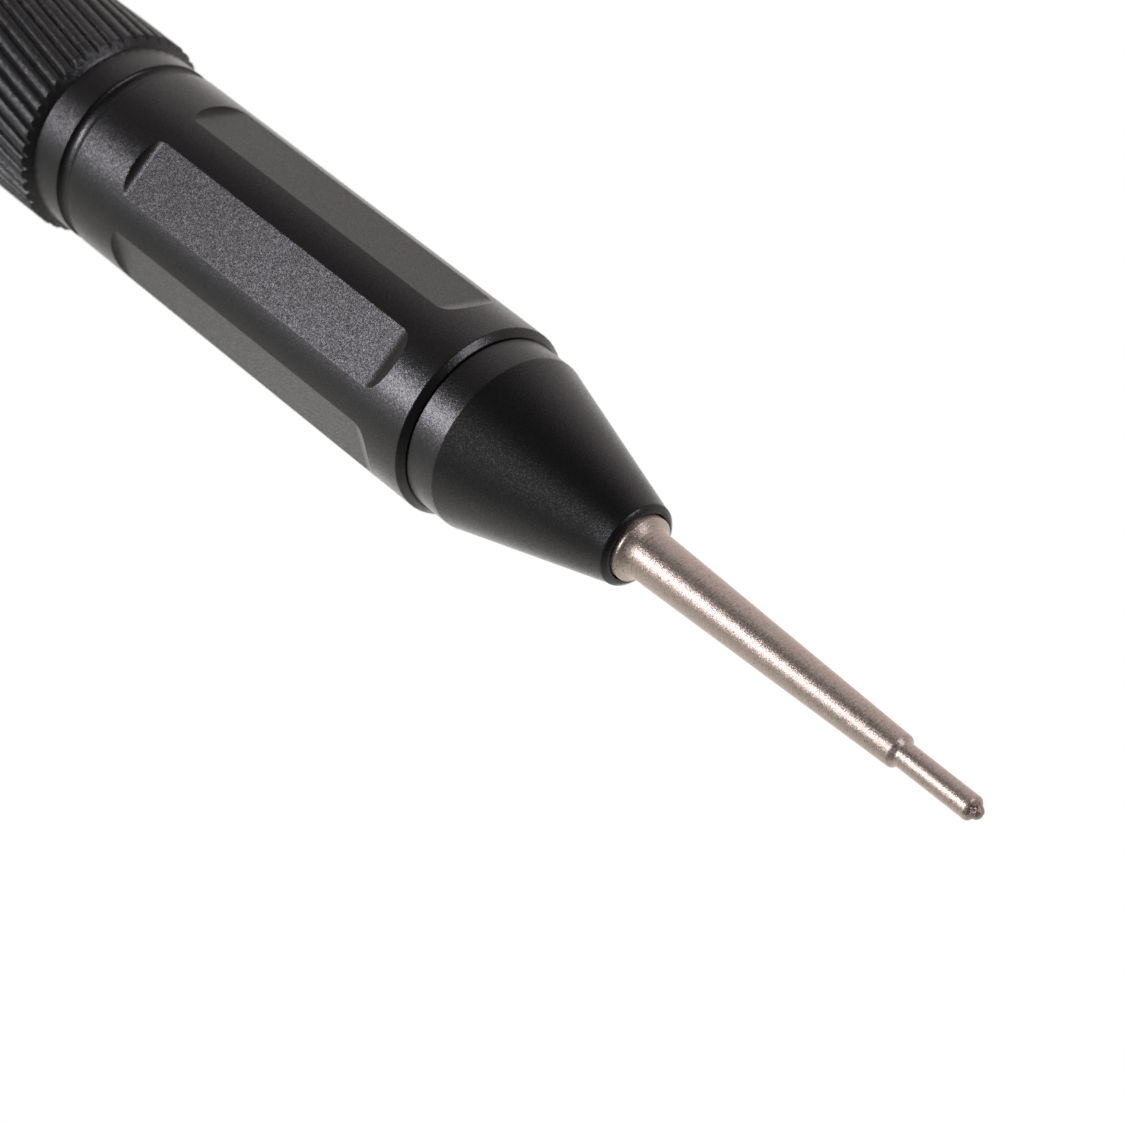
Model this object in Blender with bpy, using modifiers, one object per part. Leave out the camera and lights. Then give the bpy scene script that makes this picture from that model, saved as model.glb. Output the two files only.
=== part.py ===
"""A double-ended spring bar tool: a hollow handle of screwed parts with a pin tip and a fork tip.

The tool lies along X with its centre at the origin and the pin tip towards +X. Every piece is
turned about the tool's axis, so each end is drawn on its own axis that points outwards, and a
station is a distance from the tool's centre along that axis. Blender units are metres.
"""

import math

import bmesh
import bpy
from mathutils import Matrix

MM = 0.001

# Handle, outside
BODY_RADIUS = 4.5 * MM
KNURL_RADIUS = 1.1 * BODY_RADIUS
KNURL_DEPTH = 0.19 * MM
KNURL_RIDGES = 45
KNURL_CREST_SHARE = 0.45  # part of the pitch that is a ridge's flat top
KNURL_TWIST = math.radians(2.0) / MM  # turn of the ridges along the axis
KNURL_STEPS = 8  # lengths into which the twisted bar is divided
KNURL_BLANK_ALLOWANCE = 0.15 * MM  # how far the turned blank stands above the ridges
KNURL_END = 14.0 * MM
COLLAR_START = 14.36 * MM
GROOVE_START = 16.05 * MM
GROOVE_END = 17.14 * MM
GROOVE_DEPTH = 0.22 * MM
SLEEVE_END = 16.80 * MM
FLAT_COUNT = 6
FLAT_START = 20.6 * MM
FLAT_END = 37.4 * MM
FLAT_HEIGHT = 0.9455 * BODY_RADIUS  # distance of a flat from the axis
FLAT_END_RADIUS = 0.8 * MM
FLAT_CUTTER_WIDTH = 3.6 * MM
BARREL_EDGE = 39.80 * MM
BARREL_END = 40.17 * MM
NOSE_RADIUS = 0.92 * BODY_RADIUS
NOSE_COLLAR_END = 41.85 * MM
CONE_START = 42.0 * MM
CONE_START_RADIUS = 4.09 * MM
CONE_END = 49.85 * MM
CONE_END_RADIUS = 1.93 * MM
MOUTH = 50.09 * MM
MOUTH_RADIUS = 1.566 * MM
NOSE_RIM_ROUND = 0.06 * MM

# Handle, inside
SEAM = 0.05 * MM  # gap between two shoulders that meet
THREAD_CLEARANCE = 0.06 * MM
CORE_RADIUS = 2.55 * MM
BARREL_THREAD_RADIUS = 3.5 * MM
BARREL_THREAD_START = 10.3 * MM
SLEEVE_THREAD_START = 9.6 * MM
BARREL_BORE_RADIUS = 2.2 * MM
NOSE_THREAD_RADIUS = 3.0 * MM
NOSE_THREAD_START = 34.0 * MM
BARREL_SOCKET_START = 33.0 * MM
NOSE_BORE_RADIUS = 1.93 * MM
SPIGOT_CHAMFER = 0.3 * MM
BARREL_SEAL = {"radius": 3.18 * MM, "cord": 0.28 * MM, "station": 15.95 * MM}
NOSE_SEAL = {"radius": 2.77 * MM, "cord": 0.20 * MM, "station": 39.42 * MM}
WASHER = {"radius": 1.20 * MM, "cord": 0.23 * MM, "station": 48.68 * MM}
SEAL_GROOVE_PLAY = 0.07 * MM
SEAL_GROOVE_GAP = 0.05 * MM  # between a seal's inside and the floor of its groove
TIP_SOCKET_START = 42.0 * MM
TIP_SOCKET_END = 48.36 * MM
TIP_SOCKET_FIT = 0.03 * MM
MOUTH_BORE_START = 48.40 * MM

# Tips
TIP_END = 70.0 * MM
FLANGE_RADIUS = 1.5 * MM
FLANGE_START = 49.0 * MM
FLANGE_FACE = 50.32 * MM
SHAFT_START = 51.2 * MM
SHAFT_START_RADIUS = 1.13 * MM
SHAFT_FOOT_HEIGHT = 0.3 * MM
SHAFT_FOOT_FLARE = 0.12 * MM
TIP_NECK_RADIUS = 0.88 * MM
TIP_THREAD_RADIUS = 1.0 * MM
TIP_THREAD_START = 43.2 * MM
TIP_THREAD_END = 48.2 * MM
TIP_THREAD_RUNOUT = 0.12 * MM
TIP_THREAD_CHAMFER = 0.2 * MM
PIN_STEP = 65.35 * MM
PIN_STEP_RADIUS = 0.75 * MM
PIN_START = 65.68 * MM
PIN_RADIUS = 0.55 * MM
PIN_END = 69.58 * MM
PIN_EDGE_WIDTH = 0.05 * MM
PIN_EDGE_LENGTH = 0.08 * MM
NUB_RADIUS = 0.24 * MM
NUB_EDGE = 0.05 * MM
FORK_WAIST = 62.0 * MM
FORK_WAIST_RADIUS = 0.85 * MM
FORK_SHOULDER = 64.7 * MM
FORK_SHOULDER_RADIUS = 1.3 * MM
FORK_START = 65.6 * MM
FORK_RADIUS = 1.5 * MM
FORK_CHEEK_START = 63.0 * MM
FORK_ROOT_HALF_THICKNESS = 0.5 * MM
FORK_TIP_HALF_THICKNESS = 0.2 * MM
FORK_SLOT_WIDTH = 1.1 * MM
FORK_SLOT_DEPTH = 2.2 * MM
FORK_SLOT_CORNER = 0.5 * MM
PRONG_EDGE_WIDTH = 0.15 * MM
PRONG_EDGE_LENGTH = 0.4 * MM

# Storage
SPARE_SHIFT = 40.4 * MM  # how far a spare tip lies behind a fitted one
HOLDER_START = 1.2 * MM
HOLDER_FLOOR = 2.3 * MM
HOLDER_END = 8.5 * MM
HOLDER_BORE_RADIUS = 1.06 * MM
PLUG_HALF_LENGTH = 0.9 * MM
CORE_FIT = 0.05 * MM

CUTTER_REACH = 1.0 * MM  # how far a cutter runs past what it cuts

HANDLE_SEGMENTS = 32
INNER_SEGMENTS = 24
TIP_SEGMENTS = 16
RING_SIDES = 6
CORNER_SEGMENTS = 4
MERGE = 0.000001

MATERIALS = {
    "black_anodised": ((0.030, 0.031, 0.036), 0.42, 0.55),
    "nickel_plate": ((0.62, 0.55, 0.49), 0.28, 1.0),
    "brass": ((0.72, 0.50, 0.22), 0.30, 1.0),
    "rubber": ((0.018, 0.018, 0.018), 0.75, 0.0),
    "nylon": ((0.72, 0.70, 0.64), 0.50, 0.0),
}


def clear_scene():
    for obj in list(bpy.data.objects):
        bpy.data.objects.remove(obj)


def new_collection(name):
    collection = bpy.data.collections.new(name)
    bpy.context.scene.collection.children.link(collection)
    return collection


def make_material(name):
    colour, roughness, metallic = MATERIALS[name]
    material = bpy.data.materials.new(name)
    material.use_nodes = True
    shader = material.node_tree.nodes["Principled BSDF"]
    shader.inputs["Base Color"].default_value = (*colour, 1.0)
    shader.inputs["Roughness"].default_value = roughness
    shader.inputs["Metallic"].default_value = metallic
    return material


def place(obj, end, shift=0.0):
    """Put an object on an end's axis, moved outwards by shift."""
    obj.parent = end
    obj.location = (0.0, 0.0, shift)
    obj.rotation_euler = (0.0, 0.0, 0.0)


def finish(obj, material, end, shift=0.0):
    """Give a part its material and smooth shading, and put it in the tool."""
    obj.data.materials.append(material)
    obj.data.shade_smooth()
    obj.data.set_sharp_from_angle(angle=math.radians(30))
    place(obj, end, shift)
    return obj


def turned(name, profile, segments, collection):
    """A lathe-turned piece. The profile's (radius, station) points run down its outer side.

    A profile that starts and ends on the axis makes a solid; any other is closed into a ring.
    """
    mesh = bpy.data.meshes.new(name)
    points = [(radius, 0.0, station) for radius, station in profile]
    edges = [(i, i + 1) for i in range(len(points) - 1)]
    if profile[0][0] > 0.0:
        edges.append((len(points) - 1, 0))
    mesh.from_pydata(points, edges, [])
    obj = bpy.data.objects.new(name, mesh)
    collection.objects.link(obj)
    screw = obj.modifiers.new("turning", "SCREW")
    screw.steps = segments
    screw.render_steps = segments
    screw.use_merge_vertices = True
    screw.merge_threshold = MERGE
    return obj


def groove_point(station):
    """Radius of the round-bottomed groove between the sleeve and a barrel, at a station."""
    half_width = (GROOVE_END - GROOVE_START) / 2
    arc_radius = (half_width**2 + GROOVE_DEPTH**2) / (2 * GROOVE_DEPTH)
    offset = station - (GROOVE_START + GROOVE_END) / 2
    centre_radius = BODY_RADIUS - GROOVE_DEPTH + arc_radius
    return centre_radius - math.sqrt(arc_radius**2 - offset**2), station


def cutter_from(name, bm, owner, cutters):
    """Turn a bmesh into a cutter that stays with the part it cuts."""
    mesh = bpy.data.meshes.new(name)
    bm.to_mesh(mesh)
    bm.free()
    cutter = bpy.data.objects.new(name, mesh)
    cutters.objects.link(cutter)
    cutter.parent = owner
    cutter.display_type = "WIRE"
    cutter.hide_render = True
    return cutter


def cut(obj, cutter, operation="DIFFERENCE"):
    boolean = obj.modifiers.new(cutter.name, "BOOLEAN")
    boolean.operation = operation
    boolean.object = cutter
    boolean.solver = "EXACT"


def add_box(bm, low, high):
    """Add a box with the given lowest and highest corners."""
    size = [b - a for a, b in zip(low, high)]
    centre = [(a + b) / 2 for a, b in zip(low, high)]
    matrix = Matrix.Translation(centre) @ Matrix.Diagonal((*size, 1.0))
    bmesh.ops.create_cube(bm, size=1.0, matrix=matrix)


def round_edge(bm, fixed, radius, segments):
    """Round the edges along which the coordinates in fixed keep their given values."""
    wanted = [
        edge
        for edge in bm.edges
        if all(
            abs(getattr(vert.co, axis) - value) < MERGE
            for vert in edge.verts
            for axis, value in fixed.items()
        )
    ]
    bmesh.ops.bevel(
        bm, geom=wanted, offset=radius, segments=segments, profile=0.5, affect="EDGES"
    )


def knurl_bar(owner, cutters):
    """A twisted bar with flat-topped ridges and V grooves, longer than the sleeve."""
    bm = bmesh.new()
    half_length = GROOVE_END
    pitch = 2 * math.pi / KNURL_RIDGES
    groove_share = (1 - KNURL_CREST_SHARE) / 2
    corners = (
        (0.0, KNURL_RADIUS - KNURL_DEPTH),
        (groove_share, KNURL_RADIUS),
        (1 - groove_share, KNURL_RADIUS),
    )
    start_turn = -KNURL_TWIST * half_length
    ring = []
    for ridge in range(KNURL_RIDGES):
        for share, radius in corners:
            angle = start_turn + (ridge + share) * pitch
            ring.append(
                bm.verts.new((radius * math.cos(angle), radius * math.sin(angle), -half_length))
            )
    face = bm.faces.new(ring)
    bmesh.ops.spin(
        bm,
        geom=[face],
        axis=(0.0, 0.0, 1.0),
        cent=(0.0, 0.0, 0.0),
        dvec=(0.0, 0.0, 2 * half_length / KNURL_STEPS),
        angle=2 * half_length * KNURL_TWIST,
        steps=KNURL_STEPS,
        use_duplicate=False,
    )
    bmesh.ops.recalc_face_normals(bm, faces=bm.faces)
    return cutter_from("knurl_bar", bm, owner, cutters)


def knurled_sleeve(parts, cutters):
    blank_radius = KNURL_RADIUS + KNURL_BLANK_ALLOWANCE
    slope = (COLLAR_START - KNURL_END) / (KNURL_RADIUS - BODY_RADIUS)
    blank_end = COLLAR_START - slope * (blank_radius - BODY_RADIUS)
    thread_bore = BARREL_THREAD_RADIUS + THREAD_CLEARANCE
    outer_half = [
        groove_point(SLEEVE_END),
        groove_point((SLEEVE_END + GROOVE_START) / 2),
        (BODY_RADIUS, GROOVE_START),
        (BODY_RADIUS, COLLAR_START),
        (blank_radius, blank_end),
    ]
    inner_half = [
        (CORE_RADIUS, SLEEVE_THREAD_START),
        (thread_bore, SLEEVE_THREAD_START),
        (thread_bore, SLEEVE_END),
    ]
    outer = outer_half + [(radius, -station) for radius, station in reversed(outer_half)]
    inner = [(radius, -station) for radius, station in reversed(inner_half)] + inner_half
    sleeve = turned("knurled_sleeve", outer + inner, HANDLE_SEGMENTS, parts)
    cut(sleeve, knurl_bar(sleeve, cutters), "INTERSECT")
    return sleeve


def centre_plug(parts):
    radius = CORE_RADIUS - CORE_FIT
    profile = [
        (0.0, PLUG_HALF_LENGTH),
        (radius, PLUG_HALF_LENGTH),
        (radius, -PLUG_HALF_LENGTH),
        (0.0, -PLUG_HALF_LENGTH),
    ]
    return turned("centre_plug", profile, INNER_SEGMENTS, parts)


def tip_holder(name, parts):
    """A bush with a blind bore that grips a spare tip by its thread."""
    radius = CORE_RADIUS - CORE_FIT
    profile = [
        (0.0, HOLDER_FLOOR),
        (HOLDER_BORE_RADIUS, HOLDER_FLOOR),
        (HOLDER_BORE_RADIUS, HOLDER_END),
        (radius, HOLDER_END),
        (radius, HOLDER_START),
        (0.0, HOLDER_START),
    ]
    return turned(name, profile, INNER_SEGMENTS, parts)


def flat_cutters(barrel, cutters):
    """Six long boxes with round-cornered ends, one for each recessed flat."""
    bm = bmesh.new()
    half_width = FLAT_CUTTER_WIDTH / 2
    low = (FLAT_HEIGHT, -half_width, FLAT_START - FLAT_END_RADIUS)
    high = (BODY_RADIUS + CUTTER_REACH, half_width, FLAT_END + FLAT_END_RADIUS)
    add_box(bm, low, high)
    for end in (low[2], high[2]):
        round_edge(bm, {"x": FLAT_HEIGHT, "z": end}, FLAT_END_RADIUS, CORNER_SEGMENTS)
    single = bm.verts[:] + bm.edges[:] + bm.faces[:]
    for index in range(1, FLAT_COUNT):
        copy = bmesh.ops.duplicate(bm, geom=single)["geom"]
        copied = [item for item in copy if isinstance(item, bmesh.types.BMVert)]
        turn = Matrix.Rotation(index * 2 * math.pi / FLAT_COUNT, 3, "Z")
        bmesh.ops.rotate(bm, cent=(0, 0, 0), matrix=turn, verts=copied)
    return cutter_from(barrel.name + "_flats", bm, barrel, cutters)


def seal_groove(seal, surface_radius, segments):
    """Profile points of the groove that a ring seal sits in, from the outer end inwards."""
    inside = (seal["radius"] - seal["cord"]) * math.cos(math.pi / segments)
    root = inside - SEAL_GROOVE_GAP
    half_width = seal["cord"] + SEAL_GROOVE_PLAY
    outer = seal["station"] + half_width
    inner = seal["station"] - half_width
    return [(surface_radius, outer), (root, outer), (root, inner), (surface_radius, inner)]


def barrel(name, parts, cutters):
    shoulder = SLEEVE_END + SEAM
    nose_bore = NOSE_THREAD_RADIUS + THREAD_CLEARANCE
    profile = [
        (NOSE_RADIUS, BARREL_END),
        (BODY_RADIUS, BARREL_EDGE),
        (BODY_RADIUS, GROOVE_END),
        groove_point(shoulder),
        (BARREL_THREAD_RADIUS, shoulder),
        *seal_groove(BARREL_SEAL, BARREL_THREAD_RADIUS, INNER_SEGMENTS),
        (BARREL_THREAD_RADIUS, BARREL_THREAD_START + SPIGOT_CHAMFER),
        (BARREL_THREAD_RADIUS - SPIGOT_CHAMFER, BARREL_THREAD_START),
        (BARREL_BORE_RADIUS, BARREL_THREAD_START),
        (BARREL_BORE_RADIUS, BARREL_SOCKET_START),
        (nose_bore, BARREL_SOCKET_START),
        (nose_bore, BARREL_END),
    ]
    obj = turned(name, profile, HANDLE_SEGMENTS, parts)
    cut(obj, flat_cutters(obj, cutters))
    return obj


def nose_cone(name, parts):
    shoulder = BARREL_END + SEAM
    rim_radius = (CONE_END_RADIUS + MOUTH_RADIUS) / 2
    profile = [
        (MOUTH_RADIUS, MOUTH),
        (rim_radius, MOUTH - NOSE_RIM_ROUND),
        (CONE_END_RADIUS, CONE_END),
        (CONE_START_RADIUS, CONE_START),
        (NOSE_RADIUS, NOSE_COLLAR_END),
        (NOSE_RADIUS, shoulder),
        (NOSE_THREAD_RADIUS, shoulder),
        *seal_groove(NOSE_SEAL, NOSE_THREAD_RADIUS, INNER_SEGMENTS),
        (NOSE_THREAD_RADIUS, NOSE_THREAD_START + SPIGOT_CHAMFER),
        (NOSE_THREAD_RADIUS - SPIGOT_CHAMFER, NOSE_THREAD_START),
        (NOSE_BORE_RADIUS, NOSE_THREAD_START),
        (NOSE_BORE_RADIUS, MOUTH_BORE_START),
        (MOUTH_RADIUS, MOUTH_BORE_START),
    ]
    return turned(name, profile, HANDLE_SEGMENTS, parts)


def tip_socket(name, parts):
    """A threaded bush in the nose cone, open right through."""
    outer = NOSE_BORE_RADIUS - TIP_SOCKET_FIT
    bore = TIP_THREAD_RADIUS + THREAD_CLEARANCE
    profile = [
        (outer, TIP_SOCKET_END),
        (outer, TIP_SOCKET_START),
        (bore, TIP_SOCKET_START),
        (bore, TIP_SOCKET_END),
    ]
    return turned(name, profile, INNER_SEGMENTS, parts)


def ring_seal(name, seal, segments, parts):
    bpy.ops.mesh.primitive_torus_add(
        major_segments=segments,
        minor_segments=RING_SIDES,
        major_radius=seal["radius"],
        minor_radius=seal["cord"],
    )
    ring = bpy.context.object
    ring.name = name
    ring.data.name = name
    for collection in list(ring.users_collection):
        collection.objects.unlink(ring)
    parts.objects.link(ring)
    return ring


def tip_stem():
    """Profile of the shaft's foot, the flange and the thread, the same on every tip."""
    return [
        (SHAFT_START_RADIUS, SHAFT_START),
        (SHAFT_START_RADIUS + SHAFT_FOOT_FLARE, FLANGE_FACE + SHAFT_FOOT_HEIGHT),
        (FLANGE_RADIUS, FLANGE_FACE),
        (FLANGE_RADIUS, FLANGE_START),
        (TIP_NECK_RADIUS, FLANGE_START),
        (TIP_NECK_RADIUS, TIP_THREAD_END),
        (TIP_THREAD_RADIUS, TIP_THREAD_END - TIP_THREAD_RUNOUT),
        (TIP_THREAD_RADIUS, TIP_THREAD_START + TIP_THREAD_CHAMFER),
        (TIP_THREAD_RADIUS - TIP_THREAD_CHAMFER, TIP_THREAD_START),
        (0.0, TIP_THREAD_START),
    ]


def pin_tip(name, parts):
    profile = [
        (0.0, TIP_END),
        (NUB_RADIUS - NUB_EDGE, TIP_END - NUB_EDGE),
        (NUB_RADIUS, PIN_END),
        (PIN_RADIUS - PIN_EDGE_WIDTH, PIN_END),
        (PIN_RADIUS, PIN_END - PIN_EDGE_LENGTH),
        (PIN_RADIUS, PIN_START),
        (PIN_STEP_RADIUS, PIN_STEP),
        *tip_stem(),
    ]
    return turned(name, profile, TIP_SEGMENTS, parts)


def fork_cheek(tip, side, cutters):
    """The wedge milled off one side of the fork's blade."""
    bm = bmesh.new()
    blade_length = TIP_END - FORK_CHEEK_START
    slope = (FORK_ROOT_HALF_THICKNESS - FORK_TIP_HALF_THICKNESS) / blade_length
    reach = FORK_RADIUS + CUTTER_REACH
    add_box(bm, (0.0, -reach, 0.0), (reach, reach, blade_length + CUTTER_REACH))
    tilt = Matrix.Rotation(-math.atan(slope), 4, "Y")
    lift = Matrix.Translation((FORK_ROOT_HALF_THICKNESS, 0.0, FORK_CHEEK_START))
    turn = Matrix.Rotation(0.0 if side > 0 else math.pi, 4, "Z")
    bmesh.ops.transform(bm, matrix=turn @ lift @ tilt, verts=bm.verts)
    label = "upper" if side > 0 else "lower"
    return cutter_from(f"{tip.name}_{label}_cheek", bm, tip, cutters)


def fork_slot(tip, cutters):
    """The U-shaped slot between the fork's two prongs."""
    bm = bmesh.new()
    half_width = FORK_SLOT_WIDTH / 2
    floor = TIP_END - FORK_SLOT_DEPTH
    low = (-FORK_RADIUS, -half_width, floor)
    high = (FORK_RADIUS, half_width, TIP_END + CUTTER_REACH)
    add_box(bm, low, high)
    for side in (-half_width, half_width):
        round_edge(bm, {"y": side, "z": floor}, FORK_SLOT_CORNER, CORNER_SEGMENTS)
    return cutter_from(tip.name + "_slot", bm, tip, cutters)


def fork_tip(name, parts, cutters):
    profile = [
        (0.0, TIP_END),
        (FORK_RADIUS - PRONG_EDGE_WIDTH, TIP_END),
        (FORK_RADIUS, TIP_END - PRONG_EDGE_LENGTH),
        (FORK_RADIUS, FORK_START),
        (FORK_SHOULDER_RADIUS, FORK_SHOULDER),
        (FORK_WAIST_RADIUS, FORK_WAIST),
        *tip_stem(),
    ]
    tip = turned(name, profile, TIP_SEGMENTS, parts)
    for side in (1, -1):
        cut(tip, fork_cheek(tip, side, cutters))
    cut(tip, fork_slot(tip, cutters))
    return tip


def end_axis(name, direction, collection):
    """An empty at the tool's centre whose Z axis points outwards along one end."""
    axis = bpy.data.objects.new(name, None)
    axis.rotation_euler = (0.0, direction * math.pi / 2, 0.0)
    collection.objects.link(axis)
    return axis


def build_end(label, axis, fitted, spare, tip_kind, parts, cutters, materials):
    """One end of the tool, from the sleeve's seal out to the tip."""
    black = materials["black_anodised"]
    rubber = materials["rubber"]
    barrel_ring = ring_seal(label + "_barrel_seal", BARREL_SEAL, INNER_SEGMENTS, parts)
    nose_ring = ring_seal(label + "_nose_seal", NOSE_SEAL, INNER_SEGMENTS, parts)
    washer = ring_seal(tip_kind + "_tip_washer", WASHER, TIP_SEGMENTS, parts)
    finish(barrel_ring, rubber, axis, BARREL_SEAL["station"])
    finish(nose_ring, rubber, axis, NOSE_SEAL["station"])
    finish(washer, rubber, axis, WASHER["station"])
    finish(barrel(label + "_barrel", parts, cutters), black, axis)
    finish(nose_cone(label + "_nose_cone", parts), black, axis)
    finish(tip_socket(label + "_tip_socket", parts), materials["brass"], axis)
    finish(tip_holder(label + "_tip_holder", parts), materials["nylon"], axis)
    finish(fitted, materials["nickel_plate"], axis)
    finish(spare, materials["nickel_plate"], axis, -SPARE_SHIFT)


def main():
    clear_scene()
    parts = new_collection("spring_bar_tool")
    cutters = new_collection("cutters")
    materials = {name: make_material(name) for name in MATERIALS}
    front = end_axis("front_axis", 1, parts)
    rear = end_axis("rear_axis", -1, parts)
    finish(knurled_sleeve(parts, cutters), materials["black_anodised"], front)
    finish(centre_plug(parts), materials["brass"], front)
    pin = pin_tip("pin_tip", parts)
    spare_pin = pin_tip("spare_pin_tip", parts)
    fork = fork_tip("fork_tip", parts, cutters)
    spare_fork = fork_tip("spare_fork_tip", parts, cutters)
    build_end("front", front, pin, spare_pin, "pin", parts, cutters, materials)
    build_end("rear", rear, fork, spare_fork, "fork", parts, cutters, materials)


main()
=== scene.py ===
"""The looks of the double-ended spring bar tool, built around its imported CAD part.

Every piece is drawn on one end's axis, which points outwards, as a pile of rings of points. A
station is a distance from the tool's centre along that axis, in metres.
"""

import math

import bmesh
import bpy
import numpy as np
from mathutils import Matrix, Vector, noise


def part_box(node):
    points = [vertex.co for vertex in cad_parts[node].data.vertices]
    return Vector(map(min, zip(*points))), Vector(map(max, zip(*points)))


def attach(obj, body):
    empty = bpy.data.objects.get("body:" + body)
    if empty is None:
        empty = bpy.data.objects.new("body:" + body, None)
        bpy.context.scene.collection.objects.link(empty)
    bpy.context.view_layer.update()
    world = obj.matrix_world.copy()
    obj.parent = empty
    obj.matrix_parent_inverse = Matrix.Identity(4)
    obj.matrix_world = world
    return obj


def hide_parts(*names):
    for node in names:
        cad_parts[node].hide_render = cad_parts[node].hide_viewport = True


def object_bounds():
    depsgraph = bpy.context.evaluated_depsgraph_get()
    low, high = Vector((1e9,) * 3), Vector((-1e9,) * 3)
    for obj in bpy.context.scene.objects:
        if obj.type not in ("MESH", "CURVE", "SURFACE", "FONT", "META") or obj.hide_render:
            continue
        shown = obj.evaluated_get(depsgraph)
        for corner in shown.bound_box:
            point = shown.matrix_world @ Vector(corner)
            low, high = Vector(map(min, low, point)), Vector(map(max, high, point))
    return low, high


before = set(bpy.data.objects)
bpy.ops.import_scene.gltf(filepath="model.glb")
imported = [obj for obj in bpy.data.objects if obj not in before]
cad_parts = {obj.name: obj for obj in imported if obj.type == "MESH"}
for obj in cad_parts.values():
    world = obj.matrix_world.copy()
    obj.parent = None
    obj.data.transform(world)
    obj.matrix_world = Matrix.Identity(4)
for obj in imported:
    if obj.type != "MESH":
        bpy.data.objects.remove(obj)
low_at_load, high_at_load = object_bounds()

MM = 0.001
TAU = 2 * math.pi


def extent(node):
    """The stations at which a CAD node of the front end starts and ends."""
    low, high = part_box(node)
    return low.x, high.x


def seal_size(node):
    """Station, ring radius and cord radius of a ring seal of the front end."""
    low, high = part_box(node)
    cord = (high.x - low.x) / 2
    return {"station": (low.x + high.x) / 2, "radius": high.y - cord, "cord": cord}


# Sizes taken from the CAD
BODY_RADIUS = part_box("front_barrel")[1].y
SLEEVE_END = extent("knurled_sleeve")[1]
BARREL_START, BARREL_END = extent("front_barrel")
NOSE_START, MOUTH = extent("front_nose_cone")
SOCKET_START, SOCKET_END = extent("front_tip_socket")
HOLDER_START, HOLDER_END = extent("front_tip_holder")
TIP_START, TIP_END = extent("pin_tip")
PLUG_END = extent("centre_plug")[1]
CORE_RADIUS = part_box("front_tip_holder")[1].y
SPARE_SHIFT = TIP_END - extent("spare_pin_tip")[1]
BARREL_SEAL = seal_size("front_barrel_seal")
NOSE_SEAL = seal_size("front_nose_seal")
WASHER = seal_size("pin_tip_washer")

# Knurled sleeve
KNURL_RADIUS = 1.1 * BODY_RADIUS
RIDGES = 45
RIDGE_PITCH = TAU / RIDGES
KNURL_TWIST = math.radians(2.0) / MM
KNURL_END = 14.0 * MM
COLLAR_START = 14.36 * MM
GROOVE_START = 16.07 * MM
GROOVE_END = 16.92 * MM
GROOVE_DEPTH = 0.24 * MM
SLEEVE_BORE = 2.55 * MM
SLEEVE_BORE_END = 9.6 * MM
SLEEVE_THREAD_START = 9.9 * MM
SLEEVE_THREAD_END = 15.0 * MM
# Height below the crest, in mm, against the share of the pitch
RIDGE_SHAPE = (
    (0.00, -0.215),
    (0.05, -0.195),
    (0.10, -0.150),
    (0.15, -0.098),
    (0.20, -0.052),
    (0.25, -0.029),
    (0.30, -0.016),
    (0.38, -0.005),
    (0.50, 0.000),
    (0.62, -0.005),
    (0.70, -0.016),
    (0.75, -0.029),
    (0.80, -0.052),
    (0.85, -0.098),
    (0.90, -0.150),
    (0.95, -0.195),
)

# Barrels
SHOULDER = SLEEVE_END + 0.04 * MM
BARREL_THREAD = {"radius": 3.5 * MM, "depth": 0.44 * MM, "pitch": 0.75 * MM}
NOSE_THREAD = {"radius": 3.0 * MM, "depth": 0.44 * MM, "pitch": 0.75 * MM}
TIP_THREAD = {"radius": 1.0 * MM, "depth": 0.24 * MM, "pitch": 0.4 * MM}
THREAD_PLAY = 0.06 * MM
BARREL_BORE = 2.2 * MM
SOCKET_FLOOR = 33.0 * MM
SOCKET_THREAD_END = 38.7 * MM
BARREL_CHAMFER = 0.28 * MM
FLATS = 6
FLAT_START = 20.6 * MM
FLAT_END = 37.13 * MM
FLAT_HEIGHT = 0.9455 * BODY_RADIUS
FLAT_START_RADIUS = 0.8 * MM
FLAT_END_RADIUS = 1.6 * MM
FLAT_START_RUN = 0.6 * MM  # more than the length of a flat's hollow end
FLAT_END_RUN = 0.9 * MM

# Noses
NOSE_RADIUS = 0.92 * BODY_RADIUS
NOSE_SHOULDER = BARREL_END + 0.03 * MM
NOSE_COLLAR_END = 41.85 * MM
CONE_START = 42.0 * MM
CONE_START_RADIUS = 4.09 * MM
CONE_END = 49.93 * MM
CONE_END_RADIUS = 1.908 * MM
CONE_SLOPE = (CONE_START_RADIUS - CONE_END_RADIUS) / (CONE_END - CONE_START)
RIM_LENGTH = 0.20 * MM
RIM_START = CONE_END - RIM_LENGTH
RIM_RADIUS = CONE_END_RADIUS + CONE_SLOPE * RIM_LENGTH
MOUTH_RADIUS = 1.566 * MM
NOSE_BORE = 1.93 * MM
MOUTH_BORE_START = 48.40 * MM
TIP_SOCKET_THREAD_END = 47.8 * MM

# Tips
FLANGE_RADIUS = 1.5 * MM
FLANGE_START = 49.0 * MM
FLANGE_FACE = 50.32 * MM
SHAFT_START = 51.2 * MM
SHAFT_START_RADIUS = 1.13 * MM
TIP_NECK_RADIUS = 0.88 * MM
TIP_THREAD_END = 48.2 * MM
PIN_STEP = 65.44 * MM
PIN_STEP_RADIUS = 0.75 * MM
PIN_START = 65.68 * MM
PIN_RADIUS = 0.55 * MM
PIN_END = 69.58 * MM
FORK_WAIST = 62.0 * MM
FORK_WAIST_RADIUS = 0.85 * MM
FORK_SHOULDER = 64.7 * MM
FORK_SHOULDER_RADIUS = 1.3 * MM
FORK_START = 65.6 * MM
FORK_RADIUS = 1.5 * MM
FORK_CHEEK_START = 63.0 * MM
FORK_ROOT_HALF_THICKNESS = 0.5 * MM
FORK_TIP_HALF_THICKNESS = 0.2 * MM
FORK_SLOT_WIDTH = 1.1 * MM
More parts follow.
